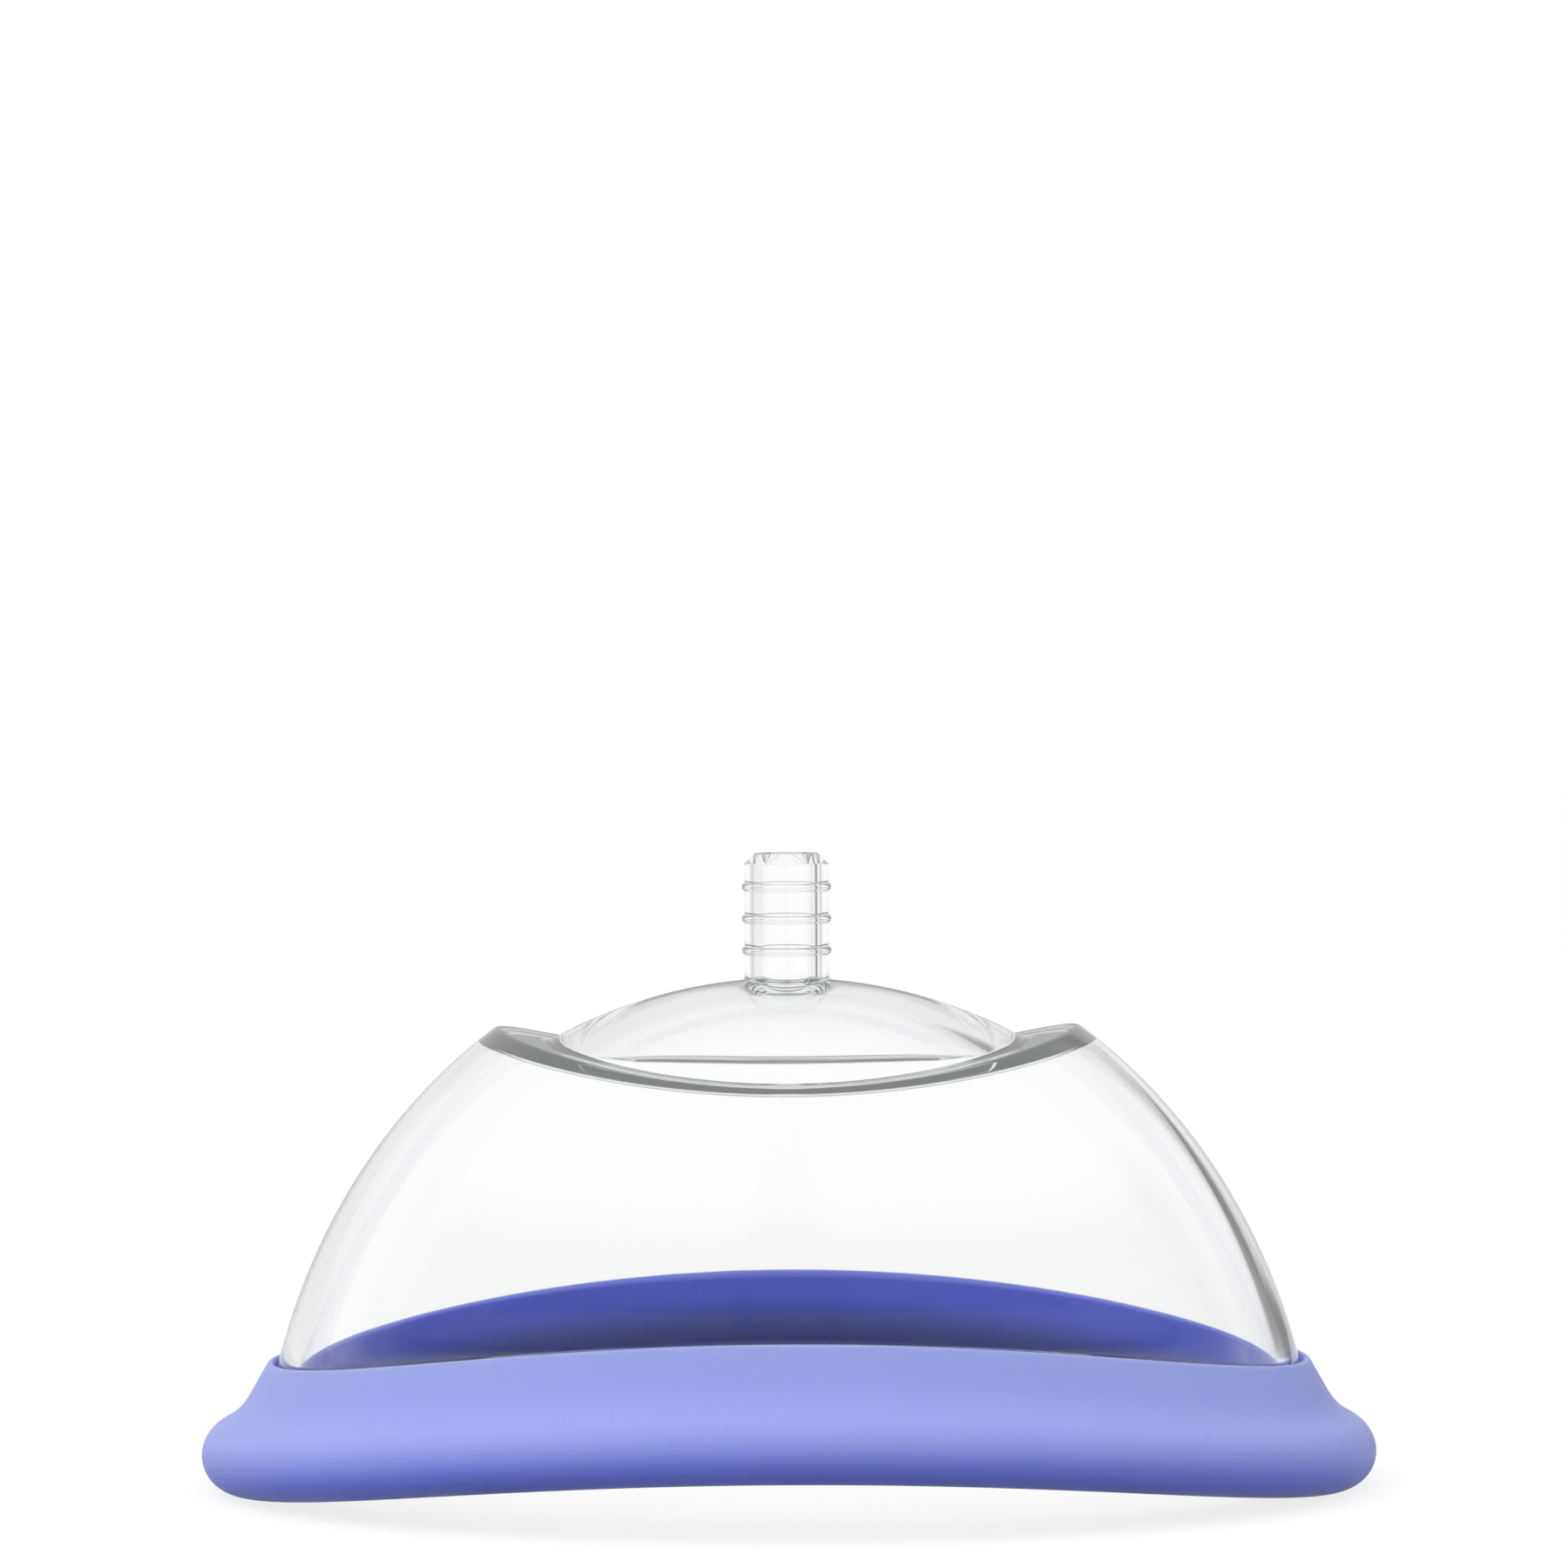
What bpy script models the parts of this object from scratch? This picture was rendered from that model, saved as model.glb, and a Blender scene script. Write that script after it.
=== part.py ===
"""Suction cup for massage: a clear oval dome with a hose nozzle, seated in a soft saddle-shaped rim.

Metres, +Z up. X runs along the cup's length and Y across it. The origin lies on the table, under the middle
of the cup. The rim stands on its two ends, and the dome lifts straight up out of the groove in the rim.
"""

import math

import bmesh
import bpy
from mathutils import Matrix, Vector

# Dome: half axes of its outer ellipsoid, and the height of its centre, which lies under the table
DOME_HALF_LENGTH = 0.0500
DOME_HALF_WIDTH = 0.0298
DOME_RISE = 0.0555
DOME_CENTRE_HEIGHT = -0.0030

# Step round the crown: how far the crown lies inside the outer ellipsoid, and the saddle that cuts the step
STEP_LENGTHWISE = 0.0015
STEP_CROSSWISE = 0.0019
STEP_DOWN = 0.0047
LEDGE_HEIGHT = 0.0389
LEDGE_RADIUS = 0.0870

# Hollow: how far its half axes lie inside the dome's, and how far its rise at the sides falls short
END_WALL = 0.0022
SIDE_WALL = 0.0020
SIDE_DROP = 0.0017

# Step inside the hollow: the ledge's thickness in the middle, the sweep under it, and how far the ceiling
# lies inside the crown
LEDGE_WALL = 0.0010
UNDERSIDE_RADIUS = 0.1120
CEILING_END_WALL = 0.0070
CEILING_SIDE_WALL = 0.0030
CROWN_WALL = 0.0017

# Nozzle: a tube for a push-on hose, with round beads that grip it, repeated down to its root
NOZZLE_RADIUS = 0.0040
NOZZLE_TOP = 0.0596
NOZZLE_CHAMFER = 0.0010
NOZZLE_ROOT_FILLET = 0.0005
BORE_RADIUS = 0.0023
BEAD_PITCH = 0.0030
BEAD_HEIGHT = 0.00025
BEAD_HALF_WIDTH = 0.00035
TOP_BEAD_DROP = 0.0032

# Rim: one cross-section, carried round the dome's edge and lifted at the sides
RIM_HEIGHT = 0.0119
RIM_ARCH = 0.0050
SADDLE_POWER = 1.2
LIP_THICKNESS = 0.0007
LIP_COVER = 0.0006
FLARE_SLOPE = math.radians(29.5)
FLARE_RADIUS = 0.0062
BULB_RADIUS = 0.0033
BULB_REACH = 0.00705
SEAT_HEIGHT = 0.0042
SEAT_WIDTH = 0.0026
INNER_EDGE_RADIUS = 0.0008
INNER_EDGE_LIFT = 0.0010

# Clearance between the dome and the groove that holds it
FIT_CLEARANCE = 0.0003

# How finely the round shapes are divided, and the angle from which an edge looks sharp
RIM_STATIONS = 72
DOME_SEGMENTS = 72
DOME_RINGS = 36
HOLLOW_RINGS = 18
LEDGE_SEGMENTS = 160
NOZZLE_SEGMENTS = 36
ARC_STEPS = 6
BEAD_STEPS = 4
FILLET_STEPS = 3
SHARP_ANGLE = math.radians(30)

# Spare length of a cutter past the surface that it cuts
CUTTER_MARGIN = 0.006
WELD_DISTANCE = 0.000001

UP = Vector((0, 0, 1))


def half_axis_at(height, half_axis, rise):
    """Half axis of a domed oval at a height above the table."""
    share = (height - DOME_CENTRE_HEIGHT) / rise
    return half_axis * math.sqrt(1 - share**2)


# The dome's edge below the lip is a straight oval band, which starts just under the lip all round
EDGE_TOP_AT_ENDS = RIM_HEIGHT - LIP_COVER
EDGE_TOP_AT_SIDES = RIM_HEIGHT + RIM_ARCH - LIP_COVER
EDGE_HALF_LENGTH = half_axis_at(EDGE_TOP_AT_ENDS, DOME_HALF_LENGTH, DOME_RISE)
EDGE_HALF_WIDTH = half_axis_at(EDGE_TOP_AT_SIDES, DOME_HALF_WIDTH, DOME_RISE)


def saddle_lift(x, y):
    """Height of the rim's saddle over a plan point: nothing at the ends, the whole arch at the sides."""
    along = x / EDGE_HALF_LENGTH
    across = y / EDGE_HALF_WIDTH
    return RIM_ARCH * (across**2 / (along**2 + across**2))**SADDLE_POWER


# Outlines in a plane

def arc(centre, radius, start, end, steps):
    """Points of an arc from one angle to another, both ends included."""
    angles = [start + (end - start) * i / steps for i in range(steps + 1)]
    return [centre + radius * Vector((math.cos(a), math.sin(a))) for a in angles]


def heading(vector):
    """Angle of a plane vector from the first axis."""
    return math.atan2(vector.y, vector.x)


def flare_centre(lip, bulb):
    """Centre of the hollow arc that leaves the lip's straight slope and runs into the bulb without a kink.

    It lies a hollow's radius out from the slope, and a hollow's plus a bulb's radius from the bulb's centre.
    """
    out = Vector((math.cos(FLARE_SLOPE), math.sin(FLARE_SLOPE)))
    down = Vector((math.sin(FLARE_SLOPE), -math.cos(FLARE_SLOPE)))
    start = lip + out * (LIP_THICKNESS / 2 + FLARE_RADIUS)
    from_bulb = start - bulb
    descent = -from_bulb.dot(down)
    reach = FLARE_RADIUS + BULB_RADIUS
    return start + down * (descent - math.sqrt(descent**2 - from_bulb.length_squared + reach**2))


def rim_outline():
    """The rim's section as (distance out from the dome's edge, height above the rim's foot).

    It runs over the lip, down a straight slope and a hollow flare to the round bulb, along the underside
    to the inner edge, and up to the shoulder that carries the dome.
    """
    lip_radius = LIP_THICKNESS / 2
    lip = Vector((FIT_CLEARANCE + lip_radius, RIM_HEIGHT - lip_radius))
    bulb = Vector((BULB_REACH - BULB_RADIUS, BULB_RADIUS))
    inner = Vector((INNER_EDGE_RADIUS - SEAT_WIDTH, INNER_EDGE_RADIUS + INNER_EDGE_LIFT))
    flare = flare_centre(lip, bulb)

    between = bulb - inner
    spread = math.acos((INNER_EDGE_RADIUS - BULB_RADIUS) / between.length)
    underside = heading(between) - spread
    shoulder = SEAT_HEIGHT - FIT_CLEARANCE
    flare_end = heading(bulb - flare) % math.tau

    points = [Vector((FIT_CLEARANCE, shoulder))]
    points += arc(lip, lip_radius, math.pi, FLARE_SLOPE, ARC_STEPS)
    points += arc(flare, FLARE_RADIUS, math.pi + FLARE_SLOPE, flare_end, ARC_STEPS)
    points += arc(bulb, BULB_RADIUS, heading(flare - bulb), underside, 2 * ARC_STEPS)[1:]
    points += arc(inner, INNER_EDGE_RADIUS, underside, -math.pi, FILLET_STEPS)
    points.append(Vector((-SEAT_WIDTH, shoulder)))
    return points


def edge_cutter_outline():
    """What is cut from the dome to fit the groove: the wall under the seat, and all outside the edge."""
    inside = -END_WALL - CUTTER_MARGIN
    outside = CUTTER_MARGIN
    bottom = -RIM_ARCH - CUTTER_MARGIN
    top = RIM_HEIGHT + CUTTER_MARGIN
    corners = [
        (inside, bottom),
        (inside, SEAT_HEIGHT),
        (0, SEAT_HEIGHT),
        (0, top),
        (outside, top),
        (outside, bottom),
    ]
    return [Vector(corner) for corner in corners]


def nozzle_outline(root):
    """The nozzle's side as (radius, height), from the tip down to a root inside the crown."""
    crown = crown_height_at(NOZZLE_RADIUS)
    points = [Vector((0, NOZZLE_TOP)), Vector((NOZZLE_RADIUS - NOZZLE_CHAMFER, NOZZLE_TOP))]
    points.append(Vector((NOZZLE_RADIUS, NOZZLE_TOP - NOZZLE_CHAMFER)))
    top_bead = NOZZLE_TOP - TOP_BEAD_DROP
    bead_room = top_bead - BEAD_HALF_WIDTH - NOZZLE_ROOT_FILLET - crown
    for number in range(math.floor(bead_room / BEAD_PITCH) + 1):
        middle = top_bead - number * BEAD_PITCH
        for step in range(BEAD_STEPS + 1):
            turn = math.pi * step / BEAD_STEPS
            out = NOZZLE_RADIUS + BEAD_HEIGHT * math.sin(turn)
            points.append(Vector((out, middle + BEAD_HALF_WIDTH * math.cos(turn))))
    fillet = Vector((NOZZLE_RADIUS + NOZZLE_ROOT_FILLET, crown + NOZZLE_ROOT_FILLET))
    points += arc(fillet, NOZZLE_ROOT_FILLET, math.pi, 1.5 * math.pi, FILLET_STEPS)
    points.append(Vector((NOZZLE_RADIUS + NOZZLE_ROOT_FILLET, root)))
    points.append(Vector((0, root)))
    return points


def crown_half_axes():
    """Half axes of the raised crown, an ellipsoid inside the dome's outer one."""
    return Vector((
        DOME_HALF_LENGTH - STEP_LENGTHWISE,
        DOME_HALF_WIDTH - STEP_CROSSWISE,
        DOME_RISE - STEP_DOWN,
    ))


def ceiling_half_axes():
    """Half axes of the ceiling under the crown, an ellipsoid inside the crown's."""
    return crown_half_axes() - Vector((CEILING_END_WALL, CEILING_SIDE_WALL, CROWN_WALL))


def hollow_half_axes(height):
    """Half axes of the hollow's oval at a height, which stay the same beside the dome's straight edge."""
    at_ends = max(height, EDGE_TOP_AT_ENDS)
    at_sides = max(height, EDGE_TOP_AT_SIDES)
    return (
        half_axis_at(at_ends, DOME_HALF_LENGTH - END_WALL, DOME_RISE),
        half_axis_at(at_sides, DOME_HALF_WIDTH - SIDE_WALL, DOME_RISE - SIDE_DROP),
    )


def hollow_top():
    """Height that the hollow's walls stay under: the underside of the ledge, past the hollow's ends."""
    lowest = LEDGE_HEIGHT - LEDGE_WALL
    reach, _ = hollow_half_axes(lowest)
    return lowest + UNDERSIDE_RADIUS - math.sqrt(UNDERSIDE_RADIUS**2 - reach**2)


def crown_height_at(radius):
    """Height of the crown's surface at a distance from the nozzle's axis, measured across the cup."""
    half = crown_half_axes()
    return DOME_CENTRE_HEIGHT + half.z * math.sqrt(1 - (radius / half.y)**2)


# Objects

def clear_scene():
    """Remove every object of the scene."""
    for item in list(bpy.data.objects):
        bpy.data.objects.remove(item, do_unlink=True)


def new_collection(name):
    """A new collection in the scene."""
    collection = bpy.data.collections.new(name)
    bpy.context.scene.collection.children.link(collection)
    return collection


def object_from_bmesh(name, shape, collection):
    """Turn a bmesh into an object with smooth round faces."""
    mesh = bpy.data.meshes.new(name)
    shape.to_mesh(mesh)
    shape.free()
    mesh.shade_smooth()
    mesh.set_sharp_from_angle(angle=SHARP_ANGLE)
    item = bpy.data.objects.new(name, mesh)
    collection.objects.link(item)
    return item


def as_cutter(item):
    """Mark an object as a tool that shapes others and isn't a piece itself."""
    item.hide_render = True
    item.display_type = "WIRE"
    return item


def ellipsoid(name, half_axes, bottom, collection):
    """The part of an ellipsoid above a height, closed underneath, about the dome's centre."""
    shape = bmesh.new()
    bmesh.ops.create_uvsphere(shape, u_segments=DOME_SEGMENTS, v_segments=DOME_RINGS, radius=1)
    half_segment = Matrix.Rotation(math.pi / DOME_SEGMENTS, 4, "Z")
    place = Matrix.Translation(UP * DOME_CENTRE_HEIGHT) @ Matrix.Diagonal((*half_axes, 1))
    bmesh.ops.transform(shape, matrix=place @ half_segment, verts=shape.verts)
    everything = [*shape.verts, *shape.edges, *shape.faces]
    cut = bmesh.ops.bisect_plane(
        shape, geom=everything, plane_co=UP * bottom, plane_no=UP, clear_inner=True)
    rim_edges = [edge for edge in cut["geom_cut"] if isinstance(edge, bmesh.types.BMEdge)]
    bmesh.ops.contextual_create(shape, geom=rim_edges)
    bmesh.ops.recalc_face_normals(shape, faces=shape.faces)
    return object_from_bmesh(name, shape, collection)


def stacked_ovals(name, low, high, collection):
    """The hollow below its step: level ovals, one above the other, bridged and closed at both ends."""
    shape = bmesh.new()
    half_segment = Matrix.Rotation(math.pi / DOME_SEGMENTS, 4, "Z")
    for step in range(HOLLOW_RINGS + 1):
        height = low + (high - low) * step / HOLLOW_RINGS
        place = Matrix.Translation(UP * height) @ Matrix.Diagonal((*hollow_half_axes(height), 1, 1))
        is_end = step in (0, HOLLOW_RINGS)
        bmesh.ops.create_circle(
            shape, cap_ends=is_end, segments=DOME_SEGMENTS, radius=1, matrix=place @ half_segment)
    bmesh.ops.bridge_loops(shape, edges=shape.edges)
    bmesh.ops.recalc_face_normals(shape, faces=shape.faces)
    return object_from_bmesh(name, shape, collection)


def cylinder(name, radius, length, place, segments, collection):
    """A closed cylinder along Z, put where the matrix says."""
    shape = bmesh.new()
    bmesh.ops.create_cone(
        shape, cap_ends=True, segments=segments, radius1=radius, radius2=radius, depth=length, matrix=place)
    return object_from_bmesh(name, shape, collection)


def sweep_across(name, low, radius, collection):
    """A cylinder that lies across the cup, with its lowest line at a height."""
    place = Matrix.Translation(UP * (low + radius)) @ Matrix.Rotation(math.pi / 2, 4, "X")
    length = 2 * (DOME_HALF_WIDTH + CUTTER_MARGIN)
    return cylinder(name, radius, length, place, LEDGE_SEGMENTS, collection)


def line_object(name, points, cyclic, collection):
    """A curve object of one straight-sided spline through plane points."""
    curve = bpy.data.curves.new(name, "CURVE")
    curve.dimensions = "2D"
    curve.fill_mode = "NONE"
    spline = curve.splines.new("POLY")
    spline.points.add(len(points) - 1)
    for point, place in zip(spline.points, points):
        point.co = (place.x, place.y, 0, 1)
    spline.use_cyclic_u = cyclic
    item = bpy.data.objects.new(name, curve)
    collection.objects.link(item)
    return item


def ring_on_edge(name, outline, collection):
    """Carry a closed outline round the dome's oval edge, then lift it to the saddle.

    A bevel outline's first axis points into a closed path, so the outline is turned over to point outwards.
    """
    turns = [math.tau * i / RIM_STATIONS for i in range(RIM_STATIONS)]
    oval = [Vector((EDGE_HALF_LENGTH * math.cos(t), EDGE_HALF_WIDTH * math.sin(t))) for t in turns]
    path = line_object(name + "_path", oval, True, collection)
    section = line_object(name + "_section", [Vector((-p.x, p.y)) for p in outline], True, collection)
    path.data.bevel_mode = "OBJECT"
    path.data.bevel_object = section
    mesh = bpy.data.meshes.new_from_object(path.evaluated_get(bpy.context.evaluated_depsgraph_get()))
    shape = bmesh.new()
    shape.from_mesh(mesh)
    for spare in (path, section):
        bpy.data.objects.remove(spare)
    bpy.data.meshes.remove(mesh)
    bmesh.ops.remove_doubles(shape, verts=shape.verts, dist=WELD_DISTANCE)
    for vertex in shape.verts:
        vertex.co.z += saddle_lift(vertex.co.x, vertex.co.y)
    bmesh.ops.recalc_face_normals(shape, faces=shape.faces)
    return object_from_bmesh(name, shape, collection)


def turned(name, outline, collection):
    """Turn an open side outline about the Z axis."""
    mesh = bpy.data.meshes.new(name)
    edges = [(i, i + 1) for i in range(len(outline) - 1)]
    mesh.from_pydata([(p.x, 0, p.y) for p in outline], edges, [])
    item = bpy.data.objects.new(name, mesh)
    collection.objects.link(item)
    screw = item.modifiers.new("turn", "SCREW")
    screw.steps = NOZZLE_SEGMENTS
    screw.render_steps = NOZZLE_SEGMENTS
    screw.use_merge_vertices = True
    screw.merge_threshold = WELD_DISTANCE
    screw.use_smooth_shade = True
    return item


def combine(item, tool, operation):
    """Join a tool to an object, or cut it away, with a Boolean modifier."""
    modifier = item.modifiers.new(tool.name, "BOOLEAN")
    modifier.object = tool
    modifier.operation = operation
    modifier.solver = "EXACT"


def principled(name, colour, roughness, transmission, refraction):
    """A material with one Principled shader."""
    material = bpy.data.materials.new(name)
    material.use_nodes = True
    shader = material.node_tree.nodes["Principled BSDF"]
    shader.inputs["Base Color"].default_value = (*colour, 1)
    shader.inputs["Roughness"].default_value = roughness
    shader.inputs["Metallic"].default_value = 0
    shader.inputs["Transmission Weight"].default_value = transmission
    shader.inputs["IOR"].default_value = refraction
    return material


# Pieces

def make_hollow_cutter(ceiling_root, tools):
    """The dome's hollow: ovals up to the underside of the ledge, and the ceiling's ellipsoid above it."""
    hollow = stacked_ovals("hollow_cutter", -CUTTER_MARGIN, hollow_top(), tools)
    underside = sweep_across("underside_tool", LEDGE_HEIGHT - LEDGE_WALL, UNDERSIDE_RADIUS, tools)
    combine(hollow, as_cutter(underside), "DIFFERENCE")
    ceiling = ellipsoid("ceiling_tool", ceiling_half_axes(), ceiling_root, tools)
    combine(hollow, as_cutter(ceiling), "UNION")
    return as_cutter(hollow)


def make_clear_dome(pieces, tools):
    """The clear moulding: an oval dome with a stepped crown, a nozzle above and a straight edge below."""
    half = Vector((DOME_HALF_LENGTH, DOME_HALF_WIDTH, DOME_RISE))
    dome = ellipsoid("clear_dome", half, 0, pieces)

    ledge = sweep_across("ledge_cutter", LEDGE_HEIGHT, LEDGE_RADIUS, tools)
    combine(dome, as_cutter(ledge), "DIFFERENCE")

    crown_root = LEDGE_HEIGHT - CUTTER_MARGIN
    crown = ellipsoid("crown_tool", crown_half_axes(), crown_root, tools)
    combine(dome, as_cutter(crown), "UNION")

    nozzle = turned("nozzle_tool", nozzle_outline(crown_root), tools)
    combine(dome, as_cutter(nozzle), "UNION")

    combine(dome, make_hollow_cutter(crown_root, tools), "DIFFERENCE")

    bore_length = NOZZLE_TOP + CUTTER_MARGIN - crown_root
    bore_place = Matrix.Translation(UP * (crown_root + bore_length / 2))
    bore = cylinder("bore_cutter", BORE_RADIUS, bore_length, bore_place, NOZZLE_SEGMENTS, tools)
    combine(dome, as_cutter(bore), "DIFFERENCE")

    edge = ring_on_edge("edge_cutter", edge_cutter_outline(), tools)
    combine(dome, as_cutter(edge), "DIFFERENCE")

    clear_plastic = principled(
        "clear_plastic", colour=(0.97, 0.98, 0.98), roughness=0.03, transmission=1.0, refraction=1.49)
    dome.data.materials.append(clear_plastic)


def make_silicone_rim(pieces):
    """The soft rim: one section with a lip, a flare, a bulb and a shoulder, carried round the dome's edge."""
    rim = ring_on_edge("silicone_rim", rim_outline(), pieces)
    violet_silicone = principled(
        "violet_silicone", colour=(0.24, 0.26, 0.72), roughness=0.55, transmission=0.0, refraction=1.41)
    rim.data.materials.append(violet_silicone)


def main():
    """Model the cup."""
    clear_scene()
    pieces = new_collection("cupping_cup")
    tools = new_collection("cutters")
    make_silicone_rim(pieces)
    make_clear_dome(pieces, tools)


main()
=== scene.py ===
"""Looks of a clear oval suction cup in a soft violet rim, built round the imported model.

Metres, +Z up, X along the cup and Y across it. Run it as a script: it makes the polished dome, the silicone
rim and the studio, each with an operator of its own, and sets the camera at the photograph's viewing angle.
"""

import math

import bpy
import numpy as np
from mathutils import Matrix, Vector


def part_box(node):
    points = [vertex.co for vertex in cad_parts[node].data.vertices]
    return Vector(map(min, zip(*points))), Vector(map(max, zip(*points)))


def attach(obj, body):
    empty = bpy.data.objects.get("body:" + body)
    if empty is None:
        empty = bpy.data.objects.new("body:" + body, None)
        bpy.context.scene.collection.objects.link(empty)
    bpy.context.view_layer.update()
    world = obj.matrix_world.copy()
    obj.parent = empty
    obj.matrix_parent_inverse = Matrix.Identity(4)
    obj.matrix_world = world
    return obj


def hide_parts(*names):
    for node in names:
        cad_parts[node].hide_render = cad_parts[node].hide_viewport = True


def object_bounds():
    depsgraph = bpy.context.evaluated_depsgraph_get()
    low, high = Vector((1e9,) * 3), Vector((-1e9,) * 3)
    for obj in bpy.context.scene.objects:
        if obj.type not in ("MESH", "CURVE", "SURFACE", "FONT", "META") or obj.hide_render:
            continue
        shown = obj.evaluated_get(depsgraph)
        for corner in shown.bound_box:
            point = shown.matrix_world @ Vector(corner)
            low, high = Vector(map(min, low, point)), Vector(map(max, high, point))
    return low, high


bl_info = {
    "name": "Cupping Cup Looks",
    "version": (1, 0, 0),
    "blender": (4, 5, 0),
    "location": "3D View > Sidebar > Cup",
    "description": "Makes the polished dome, the soft rim and the studio of an oval suction cup",
    "category": "Add Mesh",
}

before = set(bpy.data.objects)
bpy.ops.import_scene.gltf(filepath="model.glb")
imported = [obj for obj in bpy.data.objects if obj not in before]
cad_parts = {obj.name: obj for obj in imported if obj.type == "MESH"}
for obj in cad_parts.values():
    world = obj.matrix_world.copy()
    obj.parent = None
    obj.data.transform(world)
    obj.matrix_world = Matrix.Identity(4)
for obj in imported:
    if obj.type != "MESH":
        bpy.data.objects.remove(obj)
CAD_LOW, CAD_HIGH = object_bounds()
DOME_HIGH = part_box("clear_dome")[1]
RIM_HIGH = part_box("silicone_rim")[1]
PHOTO_SIDE = 1800
SENSOR_WIDTH = 36.0


# Settings that a user would change

def length(name, description, default):
    """A size in metres."""
    return bpy.props.FloatProperty(
        name=name, description=description, default=default, precision=5, subtype="DISTANCE", unit="LENGTH")


def angle(name, description, degrees):
    """An angle, given in degrees."""
    return bpy.props.FloatProperty(
        name=name, description=description, default=math.radians(degrees), subtype="ANGLE", unit="ROTATION")


def colour(name, description, default):
    """A linear colour."""
    return bpy.props.FloatVectorProperty(
        name=name, description=description, default=default, size=3, min=0, max=1, subtype="COLOR")


def amount(name, description, default):
    """A plain number."""
    return bpy.props.FloatProperty(name=name, description=description, default=default, precision=4)


def count(name, description, default):
    """A whole number."""
    return bpy.props.IntProperty(name=name, description=description, default=default, min=1)


class DomeSettings(bpy.types.PropertyGroup):
    """Sizes and finish of the clear dome."""

    half_length: length("Half length", "Outer ellipsoid's half axis along the cup", 0.0500)
    half_width: length("Half width", "Outer ellipsoid's half axis across the cup", 0.0298)
    rise: length("Rise", "Outer ellipsoid's upright half axis", 0.0555)
    centre_height: length("Centre height", "Height of the ellipsoids' common centre", -0.0030)
    step_lengthwise: length("Step lengthwise", "How far the crown lies inside along the cup", 0.0015)
    step_crosswise: length("Step crosswise", "How far the crown lies inside across the cup", 0.0019)
    step_down: length("Step down", "How far the crown lies below the outer ellipsoid", 0.0047)
    ledge_height: length("Ledge height", "Lowest point of the ledge round the crown", 0.0389)
    ledge_radius: length("Ledge radius", "Radius of the ledge's hollow sweep along the cup", 0.0870)
    end_wall: length("End wall", "Outer half length less the hollow's", 0.0022)
    side_wall: length("Side wall", "Outer half width less the hollow's", 0.0020)
    side_drop: length("Side drop", "How far the hollow's rise across falls short of the dome's", 0.0017)
    ledge_wall: length("Ledge wall", "Thickness of the ledge in the middle", 0.0010)
    underside_radius: length("Underside radius", "Radius of the sweep under the ledge", 0.1120)
    crown_wall: length("Crown wall", "Thickness of the crown under the nozzle", 0.0017)
    ceiling_end_wall: length("Ceiling end wall", "Crown's half length less the ceiling's", 0.0070)
    ceiling_side_wall: length("Ceiling side wall", "Crown's half width less the ceiling's", 0.0030)
    nozzle_radius: length("Nozzle radius", "Outside of the hose nozzle", 0.0040)
    nozzle_top: length("Nozzle top", "Height of the nozzle's tip", DOME_HIGH.z)
    nozzle_chamfer: length("Nozzle chamfer", "Chamfer round the nozzle's tip", 0.0010)
    bore_radius: length("Bore radius", "Inside of the hose nozzle", 0.0023)
    bead_count: count("Beads", "Round beads that grip the hose", 3)
    bead_pitch: length("Bead pitch", "Distance between beads", 0.0030)
    bead_height: length("Bead height", "How far a bead stands proud", 0.00025)
    bead_half_width: length("Bead half width", "Half of a bead's width", 0.00035)
    top_bead_drop: length("Top bead drop", "From the tip to the middle of the top bead", 0.0032)
    root_round: length("Root rounding", "Hollow round the nozzle's root", 0.0004)
    crown_round: length("Crown rounding", "Hollow at the crown's foot", 0.0005)
    ledge_round: length("Ledge rounding", "Rounding of the ledge's outer edge", 0.00035)
    edge_round: length("Edge rounding", "Rounding of the dome's lower edge", 0.0003)
    fine_round: length("Fine rounding", "Rounding of the nozzle's small edges", 0.00010)
    tint: colour("Tint", "Colour of the clear plastic", (1.0, 1.0, 1.0))
    depth_tint: colour("Depth tint", "Colour that light takes on inside the plastic", (0.82, 0.90, 0.87))
    depth_density: amount("Depth density", "How fast light takes on that colour, per metre", 30.0)
    refraction: amount("Refraction", "Index of refraction of the clear plastic", 1.49)
    caught_light: amount("Caught light", "Glow of places where light is caught in the plastic", 0.11)


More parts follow.
